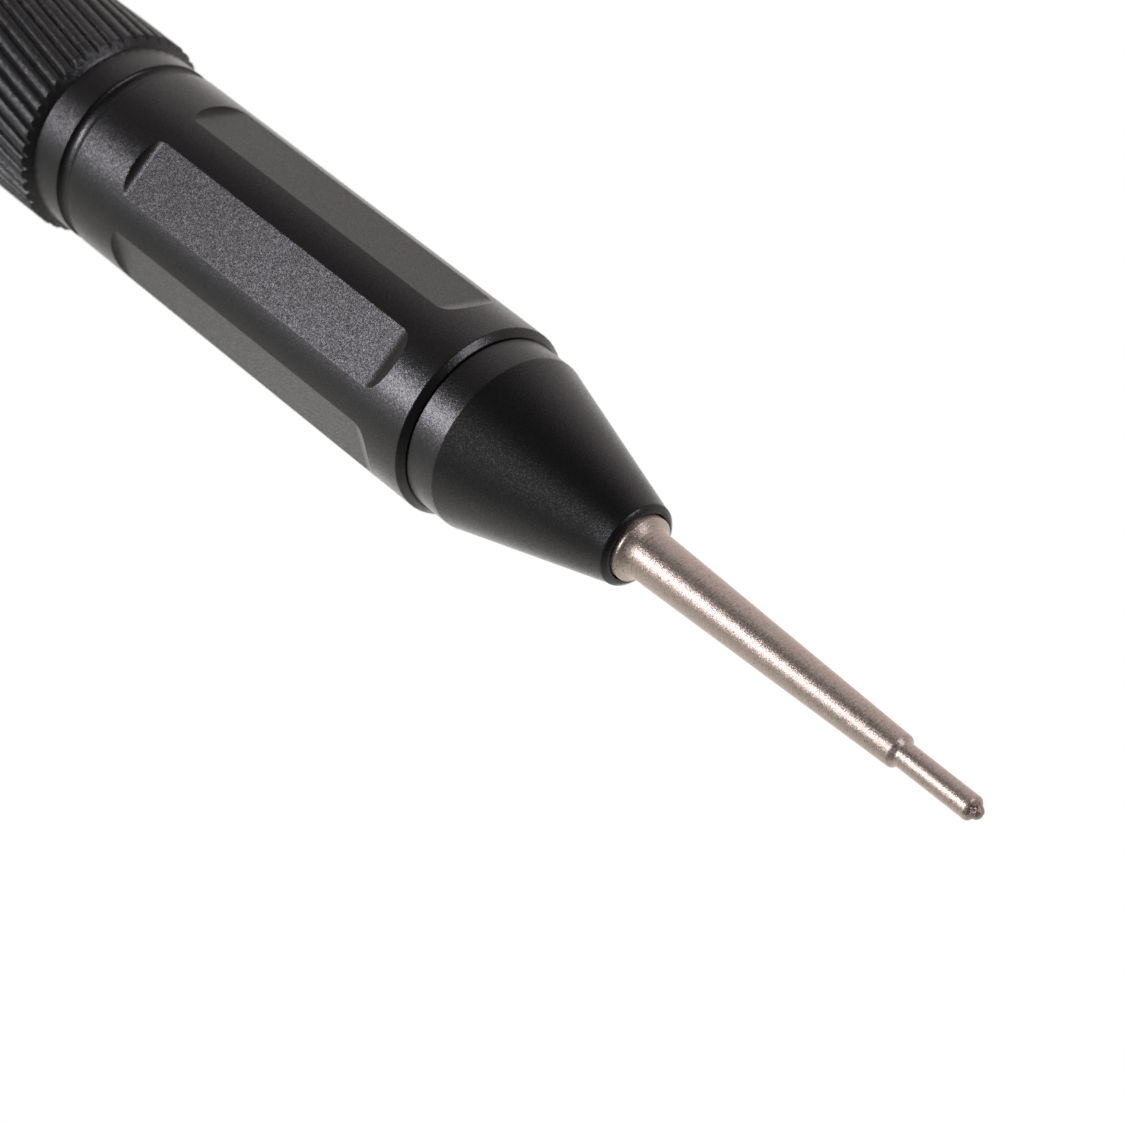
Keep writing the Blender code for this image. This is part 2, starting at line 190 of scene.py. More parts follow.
FORK_SLOT_DEPTH = 2.2 * MM
FORK_SLOT_CORNER = 0.5 * MM

FRONT = Matrix.Rotation(math.pi / 2, 4, "Y")
REAR = Matrix.Rotation(-math.pi / 2, 4, "Y")
EDGE = 0.035 * MM  # rounding of a machined edge


def ring(radius, station, columns):
    """Evenly spread points round the axis; radius is one number, or one for each column."""
    angle = np.arange(columns) * TAU / columns
    return polar(np.broadcast_to(radius, (columns,)), angle, station)


def polar(radius, angle, station):
    height = np.full(len(angle), station)
    return np.stack([radius * np.cos(angle), radius * np.sin(angle), height], axis=1)


def pole(station):
    return np.array([[0.0, 0.0, station]])


def band(a, a_count, b, b_count):
    """Faces between two rings, where one count is a multiple of the other, or 1 for a pole."""
    if b_count == 1:
        for k in range(a_count):
            yield [a + k, a + (k + 1) % a_count, b]
    elif a_count == 1:
        for k in range(b_count):
            yield [a, b + (k + 1) % b_count, b + k]
    else:
        count = min(a_count, b_count)
        a_step = a_count // count
        b_step = b_count // count
        for k in range(count):
            first = [a + (k * a_step + m) % a_count for m in range(a_step + 1)]
            second = [b + ((k + 1) * b_step - m) % b_count for m in range(b_step + 1)]
            yield first + second


def loft(name, rings, closed=True):
    """A closed mesh through rings of points. An open pile starts and ends in a pole."""
    starts = np.cumsum([0] + [len(points) for points in rings])
    last = len(rings) if closed else len(rings) - 1
    faces = []
    for i in range(last):
        j = (i + 1) % len(rings)
        faces += band(int(starts[i]), len(rings[i]), int(starts[j]), len(rings[j]))
    mesh = bpy.data.meshes.new(name)
    mesh.from_pydata(np.concatenate(rings).tolist(), [], faces)
    mesh.shade_smooth()
    mesh.set_sharp_from_angle(angle=math.radians(38))
    return mesh


def eased(profile, width=EDGE, steps=3):
    """The profile with each corner rounded, and with points beside it that keep faces flat."""
    points = [np.array(point) for point in profile]
    out = [points[0]]
    for before, corner, after in zip(points, points[1:], points[2:]):
        back = before - corner
        ahead = after - corner
        back_length = np.linalg.norm(back)
        ahead_length = np.linalg.norm(ahead)
        back = back / back_length
        ahead = ahead / ahead_length
        turn = math.acos(np.clip(-back.dot(ahead), -1.0, 1.0))
        cut = min(width, 0.3 * back_length, 0.3 * ahead_length)
        if turn < math.radians(12):
            out.append(corner)
            continue
        if back_length > 6 * cut:
            out.append(corner + back * cut * 2.2)
        for t in np.linspace(0.0, 1.0, steps + 1):
            out.append(
                (1 - t) ** 2 * (corner + back * cut)
                + 2 * t * (1 - t) * corner
                + t**2 * (corner + ahead * cut)
            )
        if ahead_length > 6 * cut:
            out.append(corner + ahead * cut * 2.2)
    out.append(points[-1])
    return out


def turned_rings(profile, columns, width=EDGE):
    """Rings of a turned shape with its edges broken."""
    return [ring(radius, station, columns) for radius, station in eased(profile, width)]


def thread_rings(thread, start, end, columns, play=0.0, rows_per_pitch=14):
    """Rings of a right-handed thread that fades out at both ends, with play added all round.

    Its crest and its root each take a seventh of the pitch, and its flanks the rest.
    """
    pitch = thread["pitch"]
    count = max(2, round(abs(end - start) / pitch * rows_per_pitch))
    angle = np.arange(columns) * TAU / columns
    rings = []
    for station in np.linspace(start, end, count + 1):
        phase = (station / pitch - angle / TAU) % 1.0
        ridge = np.clip((1 - np.abs(2 * phase - 1) - 0.14) / 0.72, 0.0, 1.0)
        from_end = min(abs(station - start), abs(station - end)) / (0.8 * pitch)
        depth = thread["depth"] * min(1.0, from_end)
        radius = thread["radius"] + play - depth * (1 - ridge)
        rings.append(polar(radius, angle, station))
    return rings


def knurl_rings():
    """Twisted flat-topped ridges, worn a little unevenly, between two chamfers."""
    rng = np.random.default_rng(11)
    shares = np.array([share for share, _ in RIDGE_SHAPE])
    heights = np.array([height for _, height in RIDGE_SHAPE]) * MM
    angles = ((np.arange(RIDGES)[:, None] + shares) * RIDGE_PITCH).ravel()
    knots = np.linspace(-COLLAR_START, COLLAR_START, 90)
    columns = len(angles)
    rough = rng.normal(0.0, 0.0024 * MM, (len(knots), columns))
    rough += np.repeat(rng.normal(0.0, 0.004 * MM, (len(knots), RIDGES)), len(shares), axis=1)
    ends = np.linspace(COLLAR_START, KNURL_END - 0.06 * MM, 13)
    middle = np.linspace(ends[-1], -ends[-1], 94)[1:-1]
    stations = np.concatenate([ends, middle, -ends[::-1]])
    slope = (KNURL_RADIUS - BODY_RADIUS) / (COLLAR_START - KNURL_END)
    rings = []
    for station in stations:
        wear = [np.interp(station, knots, rough[:, c]) for c in range(columns)]
        radius = KNURL_RADIUS + np.tile(heights, RIDGES) + np.minimum(wear, 0.0)
        chamfer = BODY_RADIUS + slope * (COLLAR_START - abs(station))
        turn = KNURL_TWIST * station
        rings.append(polar(np.minimum(radius, chamfer), angles + turn, station))
    return rings


def groove_profile(start, end):
    """Radius and station along the round-bottomed groove where a barrel meets the sleeve."""
    middle = (GROOVE_START + GROOVE_END) / 2
    half_width = (GROOVE_END - GROOVE_START) / 2
    profile = []
    shares = np.clip((np.array([start, end]) - middle) / half_width, -1.0, 1.0)
    for turn in np.linspace(*np.arccos(shares), 16):
        radius = BODY_RADIUS - GROOVE_DEPTH * math.sin(turn)
        profile.append((radius, middle + half_width * math.cos(turn)))
    return profile


def collar_rings(edge, side):
    """The plain collar and its part of the groove, from the sleeve's end to the knurl's edge."""
    profile = groove_profile(SLEEVE_END, GROOVE_START)[:-1]
    profile += eased([profile[-1], (BODY_RADIUS, GROOVE_START), (BODY_RADIUS, COLLAR_START)])[1:-1]
    angle = np.arctan2(edge[:, 1], edge[:, 0])
    rings = []
    for radius, station in profile:
        rings.append(polar(np.full(len(angle), radius), angle, side * station))
    return rings


def face_rings(edge, radius):
    """Flat rings from a twisted edge inwards, which end in evenly spread columns."""
    columns = len(edge)
    twisted = np.unwrap(np.arctan2(edge[:, 1], edge[:, 0]))
    even = np.arange(columns) * TAU / columns
    outer = np.hypot(edge[:, 0], edge[:, 1])
    rings = []
    for t in np.linspace(0.0, 1.0, 10)[1:]:
        angle = (1 - t) * twisted + t * even
        rings.append(polar((1 - t) * outer + t * radius, angle, edge[0, 2]))
    return rings


def sleeve_mesh():
    knurl = knurl_rings()
    inner = 90
    bore = THREAD_PLAY + BARREL_THREAD["radius"]
    front = collar_rings(knurl[0], 1)
    rear = collar_rings(knurl[-1], -1)
    entry = [
        (bore + EDGE, SLEEVE_END),
        (bore, SLEEVE_END - EDGE),
        (bore, SLEEVE_THREAD_END + 0.1 * MM),
    ]
    step = [
        (bore, SLEEVE_THREAD_START - 0.05 * MM),
        (bore, SLEEVE_BORE_END),
        (SLEEVE_BORE, SLEEVE_BORE_END),
        (SLEEVE_BORE, 0.5 * SLEEVE_BORE_END),
    ]
    half = [
        *turned_rings(entry, inner),
        *thread_rings(BARREL_THREAD, SLEEVE_THREAD_END, SLEEVE_THREAD_START, inner, THREAD_PLAY),
        *turned_rings(step, inner),
    ]
    rings = front + knurl + rear[::-1] + face_rings(rear[0], bore + 0.1 * MM)
    rings += turned_over(half) + half[::-1] + face_rings(front[0], bore + 0.1 * MM)[::-1]
    return loft("knurled_sleeve", rings)


def turned_over(rings):
    """The same rings turned half round about a crosswise line through the tool's centre."""
    out = []
    for points in rings:
        count = len(points)
        order = (count // 2 - np.arange(count)) % count
        out.append((points * np.array([-1.0, 1.0, -1.0]))[order])
    return out


def flat_station(height, side):
    """Station at which the hollow end of a flat has risen to a height above the axis."""
    rise = height - FLAT_HEIGHT
    radius = FLAT_START_RADIUS if side < 0 else FLAT_END_RADIUS
    run = math.sqrt(radius**2 - (radius - rise) ** 2)
    return FLAT_START - run if side < 0 else FLAT_END + run


def hexagon_ring(radius, half_width, station):
    """A ring with a flat of the given half-width in each of six sectors.

    Extra points beside each corner keep the flat and the land next to it evenly shaded.
    """
    flat_x = math.sqrt(radius**2 - half_width**2)
    edge = min(0.014 * MM, 0.2 * half_width)
    inner = np.linspace(-(half_width - 3 * edge), half_width - 3 * edge, 6)
    y = np.concatenate([[-(half_width - edge)], inner, [half_width - edge]])
    x = np.minimum(flat_x, np.sqrt(radius**2 - y**2))
    start = math.asin(half_width / radius)
    span = TAU / FLATS - 2 * start
    step = edge / radius
    land = start + np.concatenate(
        [[step], np.linspace(3 * step, span - 3 * step, 10), [span - step]]
    )
    sector = np.concatenate(
        [
            np.stack([x, y], axis=1),
            radius * np.stack([np.cos(land), np.sin(land)], axis=1),
        ]
    )
    points = []
    for index in range(FLATS):
        turn = index * TAU / FLATS
        cos, sin = math.cos(turn), math.sin(turn)
        points.append(sector @ np.array([[cos, sin], [-sin, cos]]))
    flat = np.concatenate(points)
    return np.column_stack([flat, np.full(len(flat), station)])


def barrel_outside():
    """Rings of a barrel's outer surface, from its front face back to the shoulder."""
    narrow = 0.08 * MM
    widest = math.sqrt(BODY_RADIUS**2 - FLAT_HEIGHT**2)
    widths = np.linspace(narrow, widest, 16)
    rings = []
    front = eased(
        [
            (NOSE_RADIUS - 0.2 * MM, BARREL_END),
            (BODY_RADIUS - BARREL_CHAMFER, BARREL_END),
            (BODY_RADIUS, BARREL_END - BARREL_CHAMFER),
            (BODY_RADIUS, BARREL_END - 1.5 * MM),
        ]
    )
    for radius, station in front:
        rings.append(hexagon_ring(radius, narrow, station))
    for width in widths:
        height = math.sqrt(BODY_RADIUS**2 - width**2)
        rings.append(hexagon_ring(BODY_RADIUS, width, flat_station(height, 1)))
    for station in np.linspace(FLAT_END - 0.1 * MM, FLAT_START + 0.1 * MM, 6):
        rings.append(hexagon_ring(BODY_RADIUS, widest, station))
    for width in widths[::-1]:
        height = math.sqrt(BODY_RADIUS**2 - width**2)
        rings.append(hexagon_ring(BODY_RADIUS, width, flat_station(height, -1)))
    groove = groove_profile(GROOVE_END, SHOULDER)[1:]
    rear = eased([(BODY_RADIUS, GROOVE_END + 1.5 * MM), (BODY_RADIUS, GROOVE_END), groove[0]])
    for radius, station in rear + groove[1:]:
        rings.append(hexagon_ring(radius, narrow, station))
    return rings


def barrel_normal(point):
    """The exact outward direction on a barrel's cylinder, flats and hollows, or zero elsewhere."""
    station = abs(point.x)
    radius = math.hypot(point.y, point.z)
    on_cylinder = radius > BODY_RADIUS - 0.0008 * MM
    if on_cylinder and GROOVE_END < station < BARREL_END - BARREL_CHAMFER:
        return (0.0, point.y / radius, point.z / radius)
    on_flat = FLAT_START - FLAT_START_RUN < station < FLAT_END + FLAT_END_RUN
    if radius < 0.9 * BODY_RADIUS or not on_flat:
        return (0.0, 0.0, 0.0)
    sector = round(math.atan2(point.y, point.z) / (TAU / FLATS)) * TAU / FLATS
    across = (math.sin(sector), math.cos(sector))
    height = point.y * across[0] + point.z * across[1]
    past_end = (station - FLAT_END) / FLAT_END_RADIUS
    past_start = (FLAT_START - station) / FLAT_START_RADIUS
    past = max(past_end, past_start, 0.0)
    if height - FLAT_HEIGHT < 0.0001 * MM:
        past = 0.0
    rise = math.sqrt(max(0.0, 1 - past**2))
    along = math.copysign(past, point.x)
    if station > FLAT_END:
        along = -along
    return (along, rise * across[0], rise * across[1])


def smooth_barrel(mesh):
    normals = [barrel_normal(vertex.co) for vertex in mesh.vertices]
    mesh.normals_split_custom_set_from_vertices(normals)


def seal_groove(seal, surface_radius):
    root = seal["radius"] - seal["cord"] - 0.05 * MM
    half_width = seal["cord"] + 0.07 * MM
    outer = seal["station"] + half_width
    inner = seal["station"] - half_width
    return [(surface_radius, outer), (root, outer), (root, inner), (surface_radius, inner)]


def spigot_rings(thread, shoulder, seal, start, bore, columns):
    """A spigot from its shoulder to its end and into its bore: seal groove, then thread."""
    radius = thread["radius"]
    groove = seal_groove(seal, radius)
    run_out = groove[-1][1] - 0.15 * MM
    chamfer = 0.3 * MM
    neck = radius - thread["depth"]
    seat = [(radius + 0.3 * MM, shoulder), (radius, shoulder), *groove, (radius, run_out)]
    return [
        *turned_rings(seat, columns),
        *thread_rings(thread, run_out - 0.02 * MM, start + chamfer + 0.35 * MM, columns),
        *turned_rings(
            [
                (radius, start + chamfer + 0.33 * MM),
                (radius, start + chamfer),
                (neck - 0.02 * MM, start),
                (bore, start),
                (bore, start + 1.0 * MM),
            ],
            columns,
        ),
    ]


def barrel_mesh(name):
    columns = 60
    bore = NOSE_THREAD["radius"] + THREAD_PLAY
    outside = barrel_outside()
    spigot = spigot_rings(
        BARREL_THREAD, SHOULDER, BARREL_SEAL, BARREL_START, BARREL_BORE, columns
    )
    inside = [
        *turned_rings(
            [
                (BARREL_BORE, SOCKET_FLOOR - 1.0 * MM),
                (BARREL_BORE, SOCKET_FLOOR),
                (bore, SOCKET_FLOOR),
                (bore, SOCKET_FLOOR + 0.28 * MM),
            ],
            columns,
        ),
        *thread_rings(
            NOSE_THREAD, SOCKET_FLOOR + 0.3 * MM, SOCKET_THREAD_END, columns, THREAD_PLAY
        ),
        *turned_rings(
            [
                (bore, SOCKET_THREAD_END + 0.05 * MM),
                (bore, BARREL_END),
                (bore + 0.3 * MM, BARREL_END),
            ],
            columns,
        ),
    ]
    return loft(name, outside + spigot + inside)


def nose_mesh(name):
    columns = 144
    mouth = turned_rings(
        [
            (MOUTH_RADIUS, MOUTH_BORE_START + 0.6 * MM),
            (MOUTH_RADIUS, MOUTH),
            (0.6 * MOUTH_RADIUS + 0.4 * RIM_RADIUS, MOUTH - 0.01 * MM),
            (RIM_RADIUS - 0.03 * MM, CONE_END),
            (RIM_RADIUS, RIM_START),
            (CONE_END_RADIUS + CONE_SLOPE * 1.0 * MM, CONE_END - 1.0 * MM),
        ],
        columns,
        0.06 * MM,
    )
    outside = mouth + turned_rings(
        [
            (CONE_END_RADIUS + CONE_SLOPE * 1.1 * MM, CONE_END - 1.1 * MM),
            (CONE_START_RADIUS, CONE_START),
            (NOSE_RADIUS, NOSE_COLLAR_END),
            (NOSE_RADIUS, NOSE_SHOULDER),
            (NOSE_RADIUS - 0.3 * MM, NOSE_SHOULDER),
        ],
        columns,
        0.035 * MM,
    )
    spigot = spigot_rings(NOSE_THREAD, NOSE_SHOULDER, NOSE_SEAL, NOSE_START, NOSE_BORE, columns)
    inside = turned_rings(
        [
            (NOSE_BORE, MOUTH_BORE_START - 1.0 * MM),
            (NOSE_BORE, MOUTH_BORE_START),
            (MOUTH_RADIUS, MOUTH_BORE_START),
            (MOUTH_RADIUS, MOUTH_BORE_START + 0.3 * MM),
        ],
        columns,
    )
    return loft(name, outside + spigot + inside)


def socket_mesh(name):
    columns = 64
    outer = NOSE_BORE - 0.03 * MM
    bore = TIP_THREAD["radius"] + THREAD_PLAY
    outside = turned_rings(
        [
            (bore + 0.15 * MM, SOCKET_END),
            (outer, SOCKET_END),
            (outer, SOCKET_START),
            (bore + 0.15 * MM, SOCKET_START),
        ],
        columns,
    )
    inside = [
        *turned_rings(
            [
                (bore + 0.1 * MM, SOCKET_START),
                (bore, SOCKET_START + 0.1 * MM),
                (bore, SOCKET_START + 0.2 * MM),
            ],
            columns,
        ),
        *thread_rings(
            TIP_THREAD, SOCKET_START + 0.22 * MM, TIP_SOCKET_THREAD_END, columns, THREAD_PLAY
        ),
        *turned_rings(
            [
                (bore, TIP_SOCKET_THREAD_END + 0.05 * MM),
                (bore, SOCKET_END - 0.1 * MM),
                (bore + 0.1 * MM, SOCKET_END),
            ],
            columns,
        ),
    ]
    return loft(name, outside + inside)


def tip_stem_rings(columns):
    """The concave foot of the shaft, the flange, the neck and the thread, ending in a pole."""
    radius = TIP_THREAD["radius"]
    foot = []
    steepest = math.radians(65)
    edge_radius = FLANGE_RADIUS - 0.03 * MM
    bend_radius = (edge_radius - SHAFT_START_RADIUS) / (1 - math.cos(steepest))
    for tilt in np.linspace(0.0, steepest, 12):
        foot.append(
            (
                SHAFT_START_RADIUS + bend_radius * (1 - math.cos(tilt)),
                FLANGE_FACE + bend_radius * (math.sin(steepest) - math.sin(tilt)),
            )
        )
    profile = [
        *foot,
        (FLANGE_RADIUS, FLANGE_FACE - 0.04 * MM),
        (FLANGE_RADIUS, FLANGE_START),
        (TIP_NECK_RADIUS, FLANGE_START),
        (TIP_NECK_RADIUS, TIP_THREAD_END),
        (radius, TIP_THREAD_END - 0.1 * MM),
        (radius, TIP_THREAD_END - 0.14 * MM),
    ]
    end = [
        (radius, TIP_START + 0.36 * MM),
        (radius, TIP_START + 0.22 * MM),
        (radius - TIP_THREAD["depth"], TIP_START),
        (0.3 * MM, TIP_START),
    ]
    return [
        *turned_rings(profile, columns, 0.02 * MM),
        *thread_rings(TIP_THREAD, TIP_THREAD_END - 0.16 * MM, TIP_START + 0.38 * MM, columns),
        *turned_rings(end, columns),
        pole(TIP_START),
    ]


def pin_mesh(name):
    """The pin tip, whose nub is the rough stub left where the turned bar was parted off."""
    columns = 80
    profile = [
        (0.10 * MM, TIP_END),
        (0.19 * MM, TIP_END - 0.03 * MM),
        (0.26 * MM, TIP_END - 0.10 * MM),
        (0.29 * MM, TIP_END - 0.18 * MM),
        (0.31 * MM, TIP_END - 0.26 * MM),
        (0.34 * MM, PIN_END + 0.08 * MM),
        (0.40 * MM, PIN_END + 0.01 * MM),
        (PIN_RADIUS - 0.06 * MM, PIN_END),
        (PIN_RADIUS, PIN_END - 0.08 * MM),
        (PIN_RADIUS, PIN_START),
        (PIN_STEP_RADIUS - 0.01 * MM, PIN_STEP + 0.03 * MM),
        (PIN_STEP_RADIUS, PIN_STEP - 0.03 * MM),
        (SHAFT_START_RADIUS - 0.005 * MM, SHAFT_START + 0.2 * MM),
    ]
    rings = [pole(TIP_END), *turned_rings(profile, columns, 0.03 * MM), *tip_stem_rings(columns)]
    mesh = loft(name, rings, closed=False)
    rough = []
    for vertex in mesh.vertices:
        share = np.clip((vertex.co.z - PIN_END + 0.03 * MM) / (0.06 * MM), 0.0, 1.0)
        bumps = noise.fractal(vertex.co / (0.17 * MM), 0.8, 2.2, 3)
        vertex.co.x *= 1 + 0.28 * share * bumps
        vertex.co.y *= 1 + 0.28 * share * bumps
        vertex.co.z -= 0.06 * MM * share * max(0.0, bumps)
        rough.append(share)
    mark(mesh, "rough", rough)
    return mesh


def mark(mesh, name, weights):
    """Store how much of a surface effect each vertex has, from 0 to 1."""
    layer = mesh.attributes.new(name, "FLOAT", "POINT")
    layer.data.foreach_set("value", weights)


def fork_blank(name):
    columns = 96
    profile = [
        (0.1 * MM, TIP_END),
        (FORK_RADIUS - 0.15 * MM, TIP_END),
        (FORK_RADIUS, TIP_END - 0.4 * MM),
        (FORK_RADIUS, FORK_START),
        (FORK_SHOULDER_RADIUS, FORK_SHOULDER),
        (FORK_WAIST_RADIUS, FORK_WAIST),
        (SHAFT_START_RADIUS - 0.005 * MM, SHAFT_START + 0.2 * MM),
    ]
    rings = [pole(TIP_END), *turned_rings(profile, columns, 0.3 * MM), *tip_stem_rings(columns)]
    return loft(name, rings, closed=False)


def prism(name, outline, low, high, across):
    """A closed bar with the given outline of (first, station) points between low and high."""
    axis = {"x": 0, "y": 1}[across]
    other = 1 - axis
    rings = []
    for position in (low, high):
        points = np.zeros((len(outline), 3))
        points[:, other] = [first for first, _ in outline]
        points[:, 2] = [station for _, station in outline]
        points[:, axis] = position
        rings.append(points)
    count = len(outline)
    faces = list(band(0, count, count, count))
    faces += [list(range(count))[::-1], list(range(count, 2 * count))]
    mesh = bpy.data.meshes.new(name)
    mesh.from_pydata(np.concatenate(rings).tolist(), [], faces)
    return mesh


def cheek_outline(side):
    """Side view of what is milled off one face of the fork: a wedge with a round run-in."""
    slope = (FORK_TIP_HALF_THICKNESS - FORK_ROOT_HALF_THICKNESS) / (TIP_END - FORK_CHEEK_START)
    run_in = 0.6 * MM
    points = []
    for t in np.linspace(0.0, 1.0, 9):
        rise = run_in * (1 - math.sqrt(1 - (1 - t) ** 2))
        station = FORK_CHEEK_START - 0.35 * MM + run_in * t
        points.append((FORK_ROOT_HALF_THICKNESS + rise, station))
    end = TIP_END + 1.0 * MM
    points.append((FORK_ROOT_HALF_THICKNESS + slope * (end - FORK_CHEEK_START), end))
    points += [(3.0 * MM, end), (3.0 * MM, points[0][1])]
    return [(side * first, station) for first, station in points]


def slot_outline():
    """Outline of the slot between the prongs, with round corners at its floor."""
    half = FORK_SLOT_WIDTH / 2
    floor = TIP_END - FORK_SLOT_DEPTH
    points = []
    for turn in np.linspace(0.0, math.pi / 2, 8):
        across = half - FORK_SLOT_CORNER * (1 - math.cos(turn))
        points.append((across, floor + FORK_SLOT_CORNER * (1 - math.sin(turn))))
    left = [(-first, station) for first, station in reversed(points)]
    top = TIP_END + 1.0 * MM
    return [(half, top), *points, *left, (-half, top)]


def fork_mesh(name):
    """The turned blank with its cheeks and slot cut away and its edges broken."""
    blank = bpy.data.objects.new(name + "_blank", fork_blank(name))
    bpy.context.scene.collection.objects.link(blank)
    cutters = [
        prism("upper_cheek", cheek_outline(1), -3 * MM, 3 * MM, "y"),
        prism("lower_cheek", cheek_outline(-1), -3 * MM, 3 * MM, "y"),
        prism("slot", slot_outline(), -3 * MM, 3 * MM, "x"),
    ]
    tools = []
    for mesh in cutters:
        recalculate(mesh)
        tool = bpy.data.objects.new(mesh.name, mesh)
        bpy.context.scene.collection.objects.link(tool)
        tools.append(tool)
        boolean = blank.modifiers.new(mesh.name, "BOOLEAN")
        boolean.object = tool
        boolean.operation = "DIFFERENCE"
        boolean.solver = "EXACT"
    depsgraph = bpy.context.evaluated_depsgraph_get()
    mesh = bpy.data.meshes.new_from_object(blank.evaluated_get(depsgraph))
    mesh.name = name
    for tool in [blank, *tools]:
        bpy.data.objects.remove(tool)
    mesh.set_sharp_from_angle(angle=math.radians(30))
    return mesh


def recalculate(mesh):
    """Turn every face of a closed mesh outwards."""
    bm = bmesh.new()
    bm.from_mesh(mesh)
    bmesh.ops.recalc_face_normals(bm, faces=bm.faces)
    bm.to_mesh(mesh)
    bm.free()


def seal_mesh(name, seal, sides=20, columns=96):
    """A ring of round cord with the fine flash line of its mould round the outside."""
    rings = []
    for side in range(sides):
        turn = -side * TAU / sides
        flash = 1.012 if side == 0 else 1.0
        radius = seal["radius"] + seal["cord"] * flash * math.cos(turn)
        rings.append(ring(radius, seal["station"] + seal["cord"] * math.sin(turn), columns))
    return loft(name, rings)


def plug_mesh(name):
    profile = [
        (0.2 * MM, PLUG_END),
        (CORE_RADIUS - 0.12 * MM, PLUG_END),
        (CORE_RADIUS, PLUG_END - 0.12 * MM),
        (CORE_RADIUS, -PLUG_END + 0.12 * MM),
        (CORE_RADIUS - 0.12 * MM, -PLUG_END),
        (0.2 * MM, -PLUG_END),
    ]
    rings = [pole(PLUG_END), *turned_rings(profile, 64), pole(-PLUG_END)]
    return loft(name, rings, closed=False)


def holder_mesh(name):
    bore = 1.06 * MM
    floor = HOLDER_START + 1.1 * MM
    profile = [
        (0.2 * MM, floor),
        (bore, floor),
        (bore, HOLDER_END - 0.1 * MM),
        (bore + 0.12 * MM, HOLDER_END),
        (CORE_RADIUS - 0.12 * MM, HOLDER_END),
        (CORE_RADIUS, HOLDER_END - 0.12 * MM),
        (CORE_RADIUS, HOLDER_START + 0.12 * MM),
        (CORE_RADIUS - 0.12 * MM, HOLDER_START),
        (0.2 * MM, HOLDER_START),
    ]
    rings = [pole(floor), *turned_rings(profile, 64), pole(HOLDER_START)]
    return loft(name, rings, closed=False)


class Nodes:
    """A small helper that adds and joins shader nodes."""

    def __init__(self, tree):
        self.tree = tree

    def add(self, kind, **settings):
        node = self.tree.nodes.new(kind)
        for key, value in settings.items():
            setattr(node, key, value)
        return node

    def link(self, source, target):
        self.tree.links.new(source, target)

    def value(self, socket, value):
        if isinstance(value, (int, float, tuple)):
            socket.default_value = value
        else:
            self.link(value, socket)

    def math(self, operation, a, b=0.0, clamp=False):
        node = self.add("ShaderNodeMath", operation=operation, use_clamp=clamp)
        self.value(node.inputs[0], a)
        self.value(node.inputs[1], b)
        return node.outputs[0]

    def dot(self, vector, direction):
        node = self.add("ShaderNodeVectorMath", operation="DOT_PRODUCT")
        self.link(vector, node.inputs[0])
        node.inputs[1].default_value = direction
        return node.outputs["Value"]

    def off_axis(self, place):
        """Distance from the tool's axis."""
        split = self.add("ShaderNodeSeparateXYZ")
        self.link(place, split.inputs["Vector"])
        y, z = split.outputs["Y"], split.outputs["Z"]
        square = self.math("ADD", self.math("MULTIPLY", y, y), self.math("MULTIPLY", z, z))
        return self.math("SQRT", square)

    def ramp(self, value, from_low, from_high, to_low, to_high, smooth=True):
        node = self.add("ShaderNodeMapRange")
        node.interpolation_type = "SMOOTHSTEP" if smooth else "LINEAR"
        self.value(node.inputs["Value"], value)
        for name, number in zip(
            ("From Min", "From Max", "To Min", "To Max"), (from_low, from_high, to_low, to_high)
        ):
            node.inputs[name].default_value = number
        return node.outputs["Result"]

    def noise(self, vector, scale, detail=2.0, roughness=0.5):
        node = self.add("ShaderNodeTexNoise")
        node.inputs["Scale"].default_value = scale
        node.inputs["Detail"].default_value = detail
        node.inputs["Roughness"].default_value = roughness
        self.link(vector, node.inputs["Vector"])
        return node.outputs["Fac"]

    def mix_colour(self, factor, a, b):
        node = self.add("ShaderNodeMix", data_type="RGBA")
        self.value(node.inputs["Factor"], factor)
        self.value(node.inputs["A"], a)
        self.value(node.inputs["B"], b)
        return node.outputs["Result"]

    def grain(self, place, scale, amount):
        """A small random vector that changes from grain to grain."""
        texture = self.add("ShaderNodeTexNoise")
        texture.inputs["Scale"].default_value = scale
        texture.inputs["Detail"].default_value = 1.0
        self.link(place, texture.inputs["Vector"])
        centred = self.add("ShaderNodeVectorMath", operation="SUBTRACT")
        self.link(texture.outputs["Color"], centred.inputs[0])
        centred.inputs[1].default_value = (0.5, 0.5, 0.5)
        return self.scaled(centred.outputs["Vector"], amount)

    def scaled(self, vector, amount):
        node = self.add("ShaderNodeVectorMath", operation="SCALE")
        self.link(vector, node.inputs[0])
        self.value(node.inputs["Scale"], amount)
        return node.outputs["Vector"]

    def tilted(self, *tilts):
        """The surface's own normal, tilted by small vectors."""
        normal = self.add("ShaderNodeNewGeometry").outputs["Normal"]
        for tilt in tilts:
            total = self.add("ShaderNodeVectorMath", operation="ADD")
            self.link(normal, total.inputs[0])
            self.link(tilt, total.inputs[1])
            normal = total.outputs["Vector"]
        unit = self.add("ShaderNodeVectorMath", operation="NORMALIZE")
        self.link(normal, unit.inputs[0])
        return unit.outputs["Vector"]

    def bump(self, height, distance, strength=1.0, normal=None):
        node = self.add("ShaderNodeBump")
        node.inputs["Strength"].default_value = strength
        node.inputs["Distance"].default_value = distance
        self.link(height, node.inputs["Height"])
        if normal is not None:
            self.link(normal, node.inputs["Normal"])
        return node.outputs["Normal"]


def new_material(name):
    material = bpy.data.materials.new(name)
    material.use_nodes = True
    tree = material.node_tree
    nodes = Nodes(tree)
    place = nodes.add("ShaderNodeTexCoord").outputs["Object"]
    return material, nodes, tree.nodes["Principled BSDF"], place


